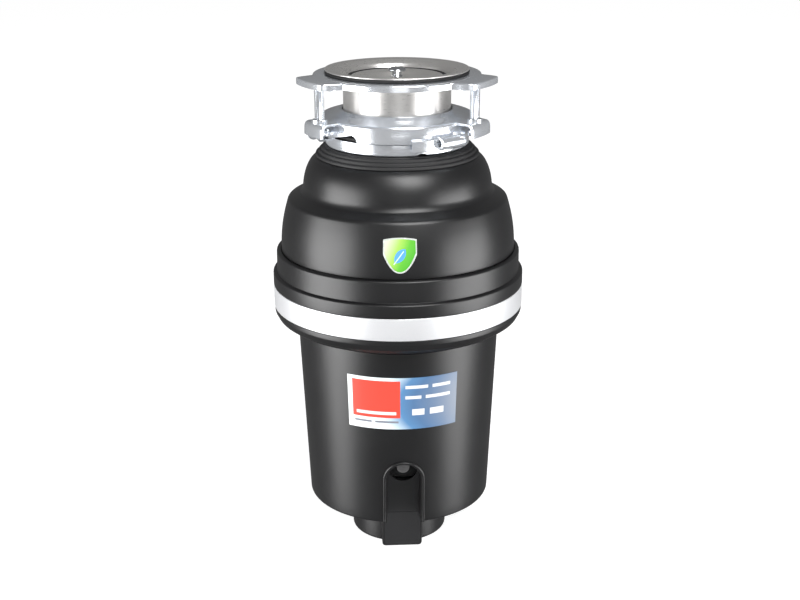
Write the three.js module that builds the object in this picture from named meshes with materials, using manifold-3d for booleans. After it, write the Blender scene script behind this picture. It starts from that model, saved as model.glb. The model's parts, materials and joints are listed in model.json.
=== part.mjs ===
// Kitchen food-waste disposer: sink mount, grinding unit, motor and covers.
// Millimetres, +Z up. The origin is the centre of the flat bottom, and the front faces -Y.
import * as THREE from 'three';
import { mergeVertices } from 'three/addons/utils/BufferGeometryUtils.js';
import Module from 'manifold-3d';

const wasm = await Module();
wasm.setup();

// ---- Driving dimensions ---------------------------------------------------

const GAP = 0.3; // air between pieces that touch on the real object
const ROUND = 28; // sides of a large turned piece
const SMALL = 16; // sides of a small turned piece

const FLANGE = { top: 398, rim: 57.15, sleeve: 42.9, bore: 41.1, foot: 352 };
const SUPPORT = { top: 394, plate: 1.8, deep: 5, circle: 66.5, ear: 81, halfEar: 19, bore: 46.5 };
const RING = { skirt: 61.8, wall: 2.1, foot: 348.6, earTop: 361.4, earFoot: 350, ear: 77.6, halfEar: 11.5 };
const SCREW = { radius: 69, shank: 4, head: 6, headFoot: 350.6, angles: [207, 327, 87] };
const RAMP = { rise: 2.5, turn: 35, tabAngle: -75, top: 355.5 };
const CAM = { wall: 57.2, thick: 2, foot: 338.6, top: 348.6, loopAngle: -56, loopRadius: 67.6 };
const HOPPER = { neck: 47.8, throat: 43.5, lip: 345, body: 70.5, bodyBore: 67, foot: 262 };
const SPOUT = { z: 227, bore: 18.5, pipe: 20.5, hole: 23.4, end: 122 };
const INLET = { z: 283, bore: 8.2, pipe: 10.6, hole: 12, end: 112 };
const TABLE = { radius: 60.5, foot: 246, top: 249, pivot: 38 };
const MOTOR = { can: 54, wall: 3, foot: 62, top: 202.3, shaft: 6 };
const COVER = { foot: 37, top: 188, footRadius: 76.3, topRadius: 83.2 };
const ARCH = { top: 93.7, outer: 17, inner: 12.6, rim: 3.4, hole: 11, holeZ: 81.5, buttonZ: 83 };
const TROUGH = { low: 48, slope: 18 / 84, wall: 2.5 };
const COLLAR = { radius: 40.2, wall: 3, height: 36.6, bossHalf: 15.5 };
const LABEL = { low: 122.5, high: 168.2, halfAngle: 33.5, middle: -87.3 };
const BADGE = { low: 257.5, high: 287, halfAngle: 8.6, middle: -91.9 };

// ---- Solids ---------------------------------------------------------------

const radians = THREE.MathUtils.degToRad;

// Drops collapsed triangles and turns the faces outward.
function cleaned(geometry) {
  const bare = geometry.clone();
  bare.deleteAttribute('normal');
  bare.deleteAttribute('uv');
  const merged = mergeVertices(bare, 1e-4);
  const corners = [];
  const index = merged.index.array;
  for (let i = 0; i < index.length; i += 3) {
    const [a, b, c] = [index[i], index[i + 1], index[i + 2]];
    if (a !== b && b !== c && c !== a) corners.push(a, b, c);
  }
  merged.setIndex(corners);
  if (signedVolume(merged) < 0) merged.index.array.reverse();
  return merged;
}

function signedVolume(geometry) {
  const place = geometry.attributes.position;
  const index = geometry.index.array;
  const [a, b, c] = [new THREE.Vector3(), new THREE.Vector3(), new THREE.Vector3()];
  let volume = 0;
  for (let i = 0; i < index.length; i += 3) {
    a.fromBufferAttribute(place, index[i]);
    b.fromBufferAttribute(place, index[i + 1]);
    c.fromBufferAttribute(place, index[i + 2]);
    volume += a.dot(b.cross(c)) / 6;
  }
  return volume;
}

function toSolid(geometry) {
  const closed = cleaned(geometry);
  const vertProperties = new Float32Array(closed.attributes.position.array);
  const triVerts = new Uint32Array(closed.index.array);
  return new wasm.Manifold(new wasm.Mesh({ numProp: 3, vertProperties, triVerts }));
}

function toGeometry(solid) {
  const mesh = solid.getMesh();
  const geometry = new THREE.BufferGeometry();
  geometry.setAttribute('position', new THREE.BufferAttribute(mesh.vertProperties, 3));
  geometry.setIndex(new THREE.BufferAttribute(mesh.triVerts, 1));
  return geometry;
}

const join = (first, ...rest) =>
  toGeometry(rest.reduce((solid, other) => solid.add(toSolid(other)), toSolid(first)));
const cut = (body, ...tools) =>
  toGeometry(tools.reduce((solid, tool) => solid.subtract(toSolid(tool)), toSolid(body)));
const meet = (body, ...others) =>
  toGeometry(others.reduce((solid, other) => solid.intersect(toSolid(other)), toSolid(body)));

// Turns a closed [radius, height] outline about the Z axis.
function turned(outline, sides = ROUND) {
  const points = outline.map(([radius, height]) => new THREE.Vector2(radius, height));
  const onAxis = outline[0][0] === 0 && outline[outline.length - 1][0] === 0;
  if (!onAxis) points.push(points[0].clone());
  return cleaned(new THREE.LatheGeometry(points, sides).rotateX(Math.PI / 2));
}

const ring = (inner, outer, low, high, sides = ROUND) =>
  turned([[inner, low], [outer, low], [outer, high], [inner, high]], sides);
const disc = (radius, low, high, sides = SMALL) =>
  turned([[0, low], [radius, low], [radius, high], [0, high]], sides);

function block([x0, x1], [y0, y1], [z0, z1]) {
  const box = new THREE.BoxGeometry(x1 - x0, y1 - y0, z1 - z0);
  return box.translate((x0 + x1) / 2, (y0 + y1) / 2, (z0 + z1) / 2);
}

// A round bar along +Y from y = low to y = high, at x = 0 and the given height.
const barAlongY = (radius, low, high, z, sides = SMALL) =>
  disc(radius, -high, -low, sides).rotateX(Math.PI / 2).translate(0, 0, z);

const turnedBy = (geometry, degrees) => geometry.clone().rotateZ(radians(degrees));
const threeTimes = (geometry) => [0, 120, 240].map((degrees) => turnedBy(geometry, degrees));

function extruded(shape, low, high) {
  const settings = { depth: high - low, bevelEnabled: false, curveSegments: 8 };
  return new THREE.ExtrudeGeometry(shape, settings).translate(0, 0, low);
}

const shapeOf = (points) => new THREE.Shape(points.map(([x, y]) => new THREE.Vector2(x, y)));

// Sweeps section(angle), a [radius, height] outline, round the Z axis between two angles.
function arcSweep(section, from, to, steps) {
  const rows = [];
  for (let i = 0; i <= steps; i += 1) {
    const angle = from + ((to - from) * i) / steps;
    const [cos, sin] = [Math.cos(radians(angle)), Math.sin(radians(angle))];
    rows.push(section(angle).map(([radius, height]) => [radius * cos, radius * sin, height]));
  }
  const count = rows[0].length;
  const corners = [];
  for (let i = 0; i < steps; i += 1) {
    for (let j = 0; j < count; j += 1) {
      const [a, b] = [i * count + j, i * count + ((j + 1) % count)];
      corners.push(a, b, a + count, b, b + count, a + count);
    }
  }
  const flat = section(from).map(([radius, height]) => new THREE.Vector2(radius, height));
  const last = steps * count;
  for (const [a, b, c] of THREE.ShapeUtils.triangulateShape(flat, [])) {
    const forward = THREE.ShapeUtils.isClockWise(flat) ? [a, b, c] : [a, c, b];
    corners.push(...forward, ...[...forward].reverse().map((corner) => corner + last));
  }
  const geometry = new THREE.BufferGeometry();
  geometry.setAttribute('position', new THREE.Float32BufferAttribute(rows.flat(2), 3));
  geometry.setIndex(corners);
  return cleaned(geometry);
}

// ---- Materials and scene --------------------------------------------------

const paint = (color, roughness, metalness) => ({ color, roughness, metalness });
const BLACK = paint(0x1b1b1e, 0.42, 0);
const RUBBER = paint(0x141414, 0.8, 0);
const ZINC = paint(0xd5d9dd, 0.28, 1);
const STAINLESS = paint(0xb9b4ac, 0.3, 1);
const SILVER = paint(0xd9dadd, 0.35, 1);
const CASTING = paint(0xa5a8ab, 0.5, 1);
const STEEL = paint(0x8d9094, 0.4, 1);
const COPPER = paint(0xb66a3a, 0.35, 1);
const FERRITE = paint(0x3a3a3c, 0.7, 0);
const GREY = paint(0x8b8c8e, 0.5, 0);
const BRASS = paint(0xc9a253, 0.35, 1);
const LABEL_BLUE = paint(0x8ea6c2, 0.4, 0);
const BADGE_GREEN = paint(0x4fae3d, 0.35, 0);

const disposer = new THREE.Group();

function part(name, geometry, look, parent = disposer) {
  const mesh = new THREE.Mesh(geometry, new THREE.MeshStandardMaterial(look));
  mesh.name = name;
  parent.add(mesh);
  return mesh;
}

// ---- Sink mount -----------------------------------------------------------

// The pressed flange that sits in the sink hole, with the groove for the snap ring.
function sinkFlange() {
  const { top, rim, sleeve, bore, foot } = FLANGE;
  const groove = 42;
  return turned([
    [rim - 0.2, top - 1.2], [rim, top - 0.5], [rim - 1, top], [49.5, top - 0.4],
    [45.5, top - 2.2], [42.8, top - 5.8], [bore, top - 11], [bore, foot], [sleeve, foot],
    [sleeve, 360.7], [groove, 360.7], [groove, 363.5], [sleeve, 363.5], [sleeve, top - 7],
    [44.6, top - 4.4], [47, top - 2.4], [50.4, top - 1.2],
  ]);
}

function snapRing() {
  const whole = ring(42.3, 45.2, 360.9, 363.2);
  return cut(whole, block([-3, 3], [38, 50], [355, 370]));
}

// Height of a ramp's top at an angle, counted from where a tab rests when locked.
const rampTop = (angle) => RAMP.top + (RAMP.rise / RAMP.turn) * (angle - RAMP.tabAngle);

function rampShelf() {
  const [inner, outer] = [CAM.wall + 0.5, RING.skirt - 1.4];
  const thick = 2.4;
  const section = (angle) => {
    const high = rampTop(angle);
    return [[inner, high - thick], [outer, high - thick], [outer, high], [inner, high]];
  };
  return arcSweep(section, RAMP.tabAngle - 41, RAMP.tabAngle + 8, 7);
}

// The wedge left open beside each ramp, where a tab goes in.
function entryWedge() {
  const [low, tall] = [RING.foot - 2, 5];
  const [shut, open] = [-149.5, -122.5];
  const section = (angle) => {
    const high = RING.foot + 0.1 + (tall * (angle - shut)) / (open - shut);
    return [[RING.skirt - 4, low], [RING.skirt + 2, low], [RING.skirt + 2, high], [RING.skirt - 4, high]];
  };
  return arcSweep(section, shut, open, 6);
}

function mountingEar() {
  const { earTop, earFoot, ear, halfEar } = RING;
  const section = () => [
    [58.5, earTop - 2.2], [ear - 2.4, earTop - 2.2], [ear - 2.2, earFoot], [ear, earFoot],
    [ear, earTop - 2], [ear - 1.8, earTop], [58.5, earTop],
  ];
  return arcSweep(section, -halfEar, halfEar, 4);
}

// The upper ring: a dished plate with a skirt, three eared lugs and three inside ramps.
function mountingRing() {
  const { skirt, wall, foot, earTop } = RING;
  const dish = turned([
    [43.4, 364], [43.4, 365.8], [50, 364.6], [56.5, 362.6], [59.6, 361.4], [61.2, 359.2],
    [skirt, 355], [skirt, foot], [skirt - wall, foot], [skirt - wall, 358.4], [58.6, 359.4],
    [56, 360.4], [50, 362.6],
  ]);
  const boss = disc(6, earTop - 1, earTop + 2).translate(SCREW.radius, 0, 0);
  const hole = disc(SCREW.shank + 0.35, earTop - 10, earTop + 10).translate(SCREW.radius, 0, 0);
  const atScrews = (geometry) => SCREW.angles.map((angle) => turnedBy(geometry, angle));
  const solid = join(dish, ...atScrews(mountingEar()), ...atScrews(boss), ...threeTimes(rampShelf()));
  return cut(solid, ...atScrews(hole), ...threeTimes(entryWedge()));
}

// A circle with three wide ears at the screws.
function earedOutline(inset) {
  const { circle, ear, halfEar } = SUPPORT;
  const points = [];
  for (const middle of SCREW.angles) {
    const side = halfEar - inset;
    for (const away of [-side, -side / 2, 0, side / 2, side]) {
      points.push([ear - inset, middle + away]);
    }
    for (const away of [25, 38, 50, 60, 70, 82, 95]) {
      points.push([circle - inset, middle + away]);
    }
  }
  points.sort((a, b) => a[1] - b[1]);
  return shapeOf(points.map(([r, a]) => [r * Math.cos(radians(a)), r * Math.sin(radians(a))]));
}

// A short lug bent down beside a screw, which stops the plate from turning.
function plateLug(side) {
  const { top } = SUPPORT;
  const section = () => [[66.2, top - 7.4], [68, top - 7.4], [68, top - 1], [66.2, top - 1]];
  return arcSweep(section, side * 10.5 - 4.5, side * 10.5 + 4.5, 3);
}

function supportFlange() {
  const { top, plate, deep, bore } = SUPPORT;
  const blank = extruded(earedOutline(0), top - deep, top);
  const hollow = extruded(earedOutline(1.8), top - deep - 1, top - plate);
  const lugs = SCREW.angles.flatMap((angle) => [-1, 1].map((side) => turnedBy(plateLug(side), angle)));
  return join(cut(blank, hollow, disc(bore, top - 10, top + 10, ROUND)), ...lugs);
}

const sinkGasket = () => ring(50.9, 57, SUPPORT.top + 0.4, FLANGE.top - 1.5);

// A threaded clamp screw with a slotted hexagon head at its foot.
function mountingScrew() {
  const { shank, head, headFoot } = SCREW;
  const top = SUPPORT.top - SUPPORT.plate - GAP;
  const body = join(disc(shank, headFoot + 2, top, 16), disc(head, headFoot, headFoot + 4.4, 6));
  return cut(body, block([-8, 8], [-0.8, 0.8], [headFoot - 1, headFoot + 1.6]));
}

function camTab() {
  const section = (angle) => {
    const low = rampTop(angle) + 0.4;
    return [[56, low], [59, low], [59, low + 1.9], [56, low + 1.9]];
  };
  return arcSweep(section, RAMP.tabAngle - 6, RAMP.tabAngle + 6, 3);
}

function camRiser() {
  const [inner, outer] = [CAM.wall - CAM.thick, CAM.wall];
  const section = () => [[inner, 345], [outer, 345], [outer, 357.4], [inner, 357.4]];
  return arcSweep(section, RAMP.tabAngle - 9, RAMP.tabAngle + 9, 4);
}

// A rolled loop on a bracket, for the lever that turns the ring.
function wrenchLoop() {
  const [half, middle] = [11.3, 349.4];
  const roll = disc(4.9, -half, half, 12).rotateX(Math.PI / 2).translate(CAM.loopRadius, 0, middle);
  const bracket = block([55.6, CAM.loopRadius - 1], [-half, half], [343.4, 345.4]);
  const bore = disc(2.8, -half - 1, half + 1, 10).rotateX(Math.PI / 2);
  const loop = cut(join(roll, bracket), bore.translate(CAM.loopRadius, 0, middle));
  return turnedBy(loop, CAM.loopAngle);
}

// A shallow wave in the lower edge beside each loop.
function camNotch() {
  const wave = barAlongY(9, -62, -50, CAM.foot - 7.2, 24);
  return turnedBy(wave, 16.5);
}

// The lower ring, which hangs the unit on the ramps and turns to let it go.
function lowerMountingRing() {
  const { wall, thick, foot, top } = CAM;
  const band = turned([
    [49.2, foot], [wall - 0.8, foot], [wall, foot + 1.2], [wall, top], [wall - thick, top],
    [wall - thick, foot + 2.1], [49.2, foot + 2.1],
  ]);
  const solid = join(band, ...threeTimes(camRiser()), ...threeTimes(camTab()), ...threeTimes(wrenchLoop()));
  return cut(solid, ...threeTimes(camNotch()));
}

part('sink_flange', sinkFlange(), STAINLESS);
part('snap_ring', snapRing(), STEEL);
part('mounting_ring', mountingRing(), ZINC);
part('sink_gasket', sinkGasket(), RUBBER);
part('support_flange', supportFlange(), ZINC);
part('lower_mounting_ring', lowerMountingRing(), ZINC);
SCREW.angles.forEach((angle, i) => {
  const screw = part(`mounting_screw_${i + 1}`, mountingScrew(), ZINC);
  screw.position.set(SCREW.radius * Math.cos(radians(angle)), SCREW.radius * Math.sin(radians(angle)), 0);
  screw.rotation.z = radians(angle);
});

// ---- Stopper --------------------------------------------------------------

// A shallow dish that hangs in the mouth, its rubber edge and its pull knob.
const STOPPER = { plate: 389, radius: 36.5 };
const stopper = new THREE.Group();
stopper.position.z = STOPPER.plate;
disposer.add(stopper);
part('stopper_dish', turned([
  [0, 0], [30, 0], [STOPPER.radius, 1.4], [STOPPER.radius, 2.8], [29.6, 1.5], [0, 1.5],
]), STAINLESS, stopper);
part('stopper_seal', turned([
  [30.6, -2.6], [38.6, -2.6], [40.4, 1.4], [39, 3.2], [36.9, 3.2], [36.9, 1], [30.6, -0.4],
]), RUBBER, stopper);
part('stopper_knob', turned([
  [0, 1.8], [3.4, 1.8], [3.4, 4.2], [6.6, 5.6], [7.1, 7.2], [5.6, 8.8], [0, 9.4],
], SMALL), ZINC, stopper);

// ---- Neck and grinding chamber --------------------------------------------

part('vibration_collar', turned([
  [49, 329.5], [65.4, 329.5], [64.4, 331.6], [62.6, 331.8], [62, 334.1], [60.4, 334.4],
  [60, 336.6], [57.6, 338.1], [49, 338.1],
]), RUBBER);

// The rubber guard in the throat, slit into fingers that let food through.
function splashGuard() {
  const cone = turned([
    [43, 345.4], [54, 345.4], [54, 349.6], [52, 351.6], [44, 351.6], [41.5, 348.6],
    [17, 342.6], [17, 340.4],
  ], 24);
  const slits = [0, 60, 120].map((angle) => turnedBy(block([-36, 36], [-0.8, 0.8], [338, 349]), angle));
  return cut(cone, ...slits);
}
part('splash_guard', splashGuard(), RUBBER);

function hopper() {
  const { neck, throat, lip, body, bodyBore, foot } = HOPPER;
  const shell = turned([
    [throat, lip], [54, lip], [54, lip - 3], [neck, lip - 3], [neck, 329], [52, 325.5],
    [60, 318], [67, 308], [body, 298], [body, foot + 3.2], [84, foot + 3.2], [84, foot],
    [bodyBore, foot], [bodyBore, 298], [63.6, 308], [56.8, 316], [48, 324.4], [throat, 328.6],
  ]);
  return cut(shell, barAlongY(INLET.bore, 60, 80, INLET.z));
}
part('hopper', hopper(), GREY);

// The hose tail for a dishwasher, still closed by its knock-out at the hopper.
part('dishwasher_inlet', turned([
  [0, 71.2], [15, 71.2], [15, 74], [INLET.pipe, 74.4], [INLET.pipe, INLET.end - 5],
  [INLET.pipe + 0.9, INLET.end - 4], [INLET.pipe, INLET.end], [INLET.bore, INLET.end],
  [INLET.bore, 74], [0, 74],
], SMALL).rotateX(-Math.PI / 2), GREY).position.z = INLET.z;

// The fixed shredding ring, with its teeth left between slots in the lower edge.
function grindRing() {
  const band = turned([
    [61.8, 244], [66.2, 244], [66.2, 259], [83.6, 259], [83.6, 261.7], [66.2, 261.7],
    [66.2, 272], [61.8, 272],
  ]);
  const slots = [];
  for (let i = 0; i < 10; i += 1) slots.push(turnedBy(block([58, 70], [-2, 2], [240, 252]), 9 + 36 * i));
  return cut(band, ...slots);
}
part('grind_ring', grindRing(), STEEL);

// The casting under the grinder: waste chamber, bearing seat and discharge port.
function upperEndBell() {
  const bell = turned([
    [11.2, 190], [16, 190], [16, 202.6], [79.5, 202.6], [79.5, 256], [84, 256], [84, 258.7],
    [76, 258.7], [76, 206.6], [15, 206.6], [15, 214], [11.4, 214], [11.4, 207.5],
    [7.5, 207.5], [7.5, 199.4], [11.2, 199.4],
  ]);
  const port = block([-24, 24], [77.5, 88], [204, 250]);
  return cut(join(bell, port), barAlongY(SPOUT.bore, 60, 100, SPOUT.z, 24));
}
part('upper_end_bell', upperEndBell(), CASTING);

const alongY = (geometry) => geometry.rotateX(-Math.PI / 2);
part('discharge_gasket', alongY(ring(SPOUT.bore + 0.5, 22.5, 88.3, 90.3, 24)), RUBBER)
  .position.z = SPOUT.z;
part('discharge_spout', alongY(turned([
  [SPOUT.bore, 90.6], [22.5, 90.6], [22.5, 94], [SPOUT.pipe, 94.4], [SPOUT.pipe, SPOUT.end - 6],
  [SPOUT.pipe + 1, SPOUT.end - 4.5], [SPOUT.pipe + 1, SPOUT.end], [SPOUT.bore, SPOUT.end],
], 24)), GREY).position.z = SPOUT.z;

// ---- Rotor ----------------------------------------------------------------

const rotor = new THREE.Group();
disposer.add(rotor);

part('shaft', turned([
  [0, 44], [MOTOR.shaft, 44], [MOTOR.shaft, 258], [MOTOR.shaft - 1, 260], [0, 260],
], SMALL), STEEL, rotor);

function turntable() {
  const plate = turned([
    [MOTOR.shaft + GAP, 238], [13, 238], [13, TABLE.foot], [TABLE.radius, TABLE.foot],
    [TABLE.radius, TABLE.top], [13, TABLE.top], [12, 251.4], [MOTOR.shaft + GAP, 251.4],
  ]);
  const holes = [-1, 1].map((side) => disc(3.6, 240, 255, 12).translate(side * TABLE.pivot, 0, 0));
  return cut(plate, ...holes);
}
part('turntable', turntable(), STEEL, rotor);
part('turntable_nut', cut(
  disc(10, 251.7, 257.6, 6),
  disc(MOTOR.shaft + GAP, 250, 260),
), STEEL, rotor);

const rivet = () => turned([
  [0, 243.4], [5.4, 243.4], [5.4, 245.6], [3.2, 245.6], [3.2, 253.2], [5.6, 253.2],
  [4.6, 255.6], [0, 255.6],
], 12);

// A free-swinging lug: a rounded plate on the rivet with a raised striking edge.
function impeller() {
  const [half, reach] = [8, 20];
  const outline = new THREE.Shape();
  outline.moveTo(reach - 4, -half);
  outline.lineTo(0, -half);
  outline.absarc(0, 0, half, -Math.PI / 2, -1.5 * Math.PI, true);
  outline.lineTo(reach - 4, half);
  outline.lineTo(reach - 1.5, half - 3);
  outline.lineTo(reach - 1.5, 3 - half);
  const plate = extruded(outline, 249.4, 252.4);
  const edge = block([10.4, reach - 3.4], [-half + 0.6, half - 0.6], [252, 263]);
  return cut(join(plate, edge), disc(3.5, 245, 258, 12));
}

[-1, 1].forEach((side, i) => {
  const at = side * TABLE.pivot;
  part(`impeller_rivet_${i + 1}`, rivet(), STEEL, rotor).position.x = at;
  const lug = part(`impeller_${i + 1}`, impeller(), STEEL);
  lug.position.x = at;
  lug.rotation.z = side < 0 ? Math.PI : 0;
});

// A star of teeth round the shaft; the windings fill the slots between the teeth.
const CORE = { radius: 43.4, low: 96, high: 164, teeth: 10, hub: 24 };
function toothedShape(rootRadius, tipRadius, halfTooth) {
  const points = [];
  for (let i = 0; i < CORE.teeth; i += 1) {
    const middle = (360 / CORE.teeth) * i;
    const pitch = 180 / CORE.teeth;
    points.push([rootRadius, middle - halfTooth], [tipRadius, middle - halfTooth]);
    points.push([tipRadius, middle], [tipRadius, middle + halfTooth]);
    points.push([rootRadius, middle + halfTooth], [rootRadius, middle + pitch]);
  }
  return shapeOf(points.map(([r, a]) => [r * Math.cos(radians(a)), r * Math.sin(radians(a))]));
}
part('armature_core', cut(
  extruded(toothedShape(CORE.hub, CORE.radius, 12), CORE.low, CORE.high),
  disc(MOTOR.shaft + GAP, 90, 170),
), STEEL, rotor);

function windings() {
  const bars = [];
  const bar = block([CORE.hub + 4, CORE.radius - 3], [-2.2, 2.2], [CORE.low - 3, CORE.high + 3]);
  for (let i = 0; i < CORE.teeth; i += 1) bars.push(turnedBy(bar, (360 / CORE.teeth) * (i + 0.5)));
  const ends = [CORE.low - 9, CORE.high + 0.5];
  const coils = ends.map((low) => turned([
    [CORE.hub - 6, low], [CORE.radius - 6, low], [CORE.radius - 2, low + 4],
    [CORE.radius - 2, low + 8.5], [CORE.hub - 6, low + 8.5],
  ], SMALL));
  return join(...coils, ...bars);
}
part('windings', windings(), COPPER, rotor);
part('commutator', ring(MOTOR.shaft + GAP, 16, 70, 85, SMALL), COPPER, rotor);
part('slinger', ring(MOTOR.shaft + GAP, 19, 216, 218, SMALL), RUBBER, rotor);

// ---- Motor ----------------------------------------------------------------

part('shaft_seal', ring(MOTOR.shaft + GAP, 11, 207.9, 213.8, SMALL), RUBBER);
part('upper_bearing', ring(MOTOR.shaft + GAP, 10.9, 190.4, 199, SMALL), STEEL);
part('motor_can', ring(MOTOR.can - MOTOR.wall, MOTOR.can, MOTOR.foot, MOTOR.top), STEEL);
part('lower_end_bell', turned([
  [7.4, 44.6], [16, 44.6], [16, 56], [MOTOR.can, 56], [MOTOR.can, MOTOR.foot - GAP],
  [11.3, MOTOR.foot - GAP], [11.3, 51], [7.4, 51],
]), CASTING);
part('lower_bearing', ring(MOTOR.shaft + GAP, 11, 51.3, 60, SMALL), STEEL);

function magnet() {
  const [inner, outer] = [45, MOTOR.can - MOTOR.wall - 0.6];
  const section = () => [[inner, 92], [outer, 92], [outer, 168], [inner, 168]];
  return arcSweep(section, -62, 62, 12);
}
part('magnet_1', magnet(), FERRITE);
part('magnet_2', magnet(), FERRITE).rotation.z = Math.PI;

// A brush slides in its holder, square to the commutator, with a leaf spring behind it.
const BRUSH = { middle: 77.5, half: 4, tall: 5 };
function brushHolder() {
  const { middle, half, tall } = BRUSH;
  const [wide, high] = [half + 2.5, tall + 2.5];
  const box = block([20, 44], [-wide, wide], [MOTOR.foot, middle + high]);
  return cut(box, block([15, 50], [-half - 0.3, half + 0.3], [middle - tall - 0.3, middle + tall + 0.3]));
}
const brush = () => block([16.4, 34], [-BRUSH.half, BRUSH.half], [BRUSH.middle - BRUSH.tall, BRUSH.middle + BRUSH.tall]);
const brushSpring = () => block([34.4, 43], [-3, 3], [BRUSH.middle - 3, BRUSH.middle + 3]);
[0, 180].forEach((angle, i) => {
  const side = new THREE.Group();
  side.rotation.z = radians(angle);
  disposer.add(side);
  part(`brush_holder_${i + 1}`, brushHolder(), BRASS, side);
  part(`brush_${i + 1}`, brush(), FERRITE, side);
  part(`brush_spring_${i + 1}`, brushSpring(), STEEL, side);
});

// ---- Covers ---------------------------------------------------------------

// The swelling wall of the upper cover's lower tier.
const TIER = [[95.2, 252], [95.2, 261], [94.1, 271], [92.4, 281], [89.9, 290.7]];
part('upper_cover', cut(turned([
  ...TIER, [88.2, 294.4], [86.8, 295.2], [78.5, 300], [76.6, 301.8], [76.2, 307], [74.6, 314.6], [72, 321],
  [68, 327.4], [65.6, 329.1], [56.5, 329.1], [56.5, 326.4], [64.4, 326.4], [69.3, 320],
  [72.2, 313], [73.7, 306], [74, 300], [75, 298.3], [85.2, 292.6], [89.8, 280],
  [92.6, 261], [92.6, 252],
]), barAlongY(INLET.hole, 60, 120, INLET.z)), BLACK);

part('belt_cover', cut(turned([
  [84.3, 189], [97, 195.6], [100.6, 197.8], [102, 201], [102, 205.4], [100.2, 205.4],
  [100.2, 224], [102.6, 224], [102.6, 233.2], [99.5, 234], [99.3, 250.4], [98.3, 251.6],
  [93, 251.6], [93, 249.2], [96.8, 249.2], [97, 232], [97.7, 226], [97.7, 203], [95, 199.5],
  [84.3, 191.8],
]), barAlongY(SPOUT.hole, 60, 120, SPOUT.z, 28)), BLACK);

part('trim_band', cut(
  ring(100.6, 102.5, 205.8, 223.6),
  barAlongY(SPOUT.hole, 60, 120, SPOUT.z, 28),
), SILVER);

const coverRadius = (z) => {
  const { foot, top, footRadius, topRadius } = COVER;
  return footRadius + ((topRadius - footRadius) * (z - foot)) / (top - foot);
};

// An arch seen from the front: a half round on two straight sides.
function archShape(half, top, foot) {
  const shape = new THREE.Shape();
  shape.moveTo(half, foot);
  shape.lineTo(half, top - half);
  shape.absarc(0, top - half, half, 0, Math.PI, false);
  shape.lineTo(-half, foot);
  return shape;
}

// The arch as a bar that runs from far in front of the cover to deep inside it.
const archBar = (half, top, foot) =>
  extruded(archShape(half, top, foot), 36, 95).rotateX(Math.PI / 2);

// Everything in front of the trough's sloping floor, moved back by inset.
function beforeFloor(inset, half, low, high) {
  const floor = (z) => inset - TROUGH.low - TROUGH.slope * z;
  const outline = shapeOf([[floor(low), low], [floor(high), high], [-95, high], [-95, low]]);
  return extruded(outline, -half, half).rotateX(Math.PI / 2).rotateZ(Math.PI / 2);
}

// The tapered cover, with a trough that runs down its front from a round hole.
function lowerCover() {
  const { foot, top, topRadius } = COVER;
  const { wall } = TROUGH;
  const side = [[72, foot], [75, foot + 1.2], [coverRadius(foot + 5), foot + 5], [topRadius, top]];
  const shell = turned([
    [34, foot], ...side, [topRadius - wall, top], [coverRadius(foot + 5) - wall, foot + 5],
    [71.8, foot + 2.6], [34, foot + 2.6],
  ]);
  const trough = meet(
    archBar(ARCH.outer, ARCH.top, foot),
    turned([[0, foot], ...side, [0, top]]),
    beforeFloor(wall, 30, foot - 1, top),
  );
  const channel = meet(
    archBar(ARCH.inner, ARCH.top - ARCH.rim, foot - 2),
    beforeFloor(0, 30, foot - 2, top),
  );
  const hole = barAlongY(ARCH.hole, -90, -58, ARCH.holeZ, 24);
  const floorHoles = [35, 145, 215, 325].map((angle) =>
    turnedBy(disc(2.4, foot - 2, foot + 5, 10).translate(62, 0, 0), angle));
  const cordHole = disc(7, foot - 2, foot + 5).translate(0, 56, 0);
  return cut(join(shell, trough), channel, hole, cordHole, ...floorHoles);
}
part('lower_cover', lowerCover(), BLACK);

// A round foot; the trough's floor runs on down it as a flat-faced boss.
function baseCollar() {
  const { radius, wall, height, bossHalf } = COLLAR;
  const cup = turned([
    [0, 0], [radius - 2, 0], [radius, 2], [radius, height], [radius - wall, height],
    [radius - wall, 3], [0, 3],
  ]);
  const boss = cut(
    block([-bossHalf, bossHalf], [-80, 1 - radius + wall], [0, height]),
    beforeFloor(0, 30, -1, height + 1),
    disc(radius - wall, -1, height + 1, ROUND),
  );
  return join(cup, boss);
}
part('base_collar', baseCollar(), BLACK);

const coverScrew = () => turned([
  [0, 34.2], [3.4, 34.2], [4, 35], [4, 36.7], [2, 36.7], [2, 50], [0, 50],
], 10);
[35, 145, 215, 325].forEach((angle, i) => {
  const screw = part(`cover_screw_${i + 1}`, coverScrew(), STEEL);
  screw.position.set(62 * Math.cos(radians(angle)), 62 * Math.sin(radians(angle)), 0);
});

// ---- Controls and wiring --------------------------------------------------

// The thermal switch stands behind the hole in the trough, and its button shows through.
function overloadSwitch() {
  const [front, back] = [-60.2, -MOTOR.can - 0.6];
  const body = block([-13, 13], [front, back], [ARCH.buttonZ - 11, ARCH.buttonZ + 13]);
  const neck = barAlongY(8.2, -64, front + 1, ARCH.buttonZ);
  return cut(join(body, neck), barAlongY(6.1, -70, -50, ARCH.buttonZ));
}
part('overload_switch', overloadSwitch(), FERRITE);
part('reset_button', barAlongY(5.4, -66.6, -57.4, ARCH.buttonZ), GREY);

part('cable_gland', turned([
  [4.5, 24], [9, 24], [10.5, 27], [10.5, 36.6], [6.6, 36.6], [6.6, 43.4], [4.5, 43.4],
], SMALL), BLACK).position.y = 56;
part('terminal_block', block([-16, 16], [6, 18], [3.4, 17]), GREY);
part('rectifier', block([-14, 14], [-22, 2], [3.4, 12]), FERRITE);

// ---- Label and badge ------------------------------------------------------

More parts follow.
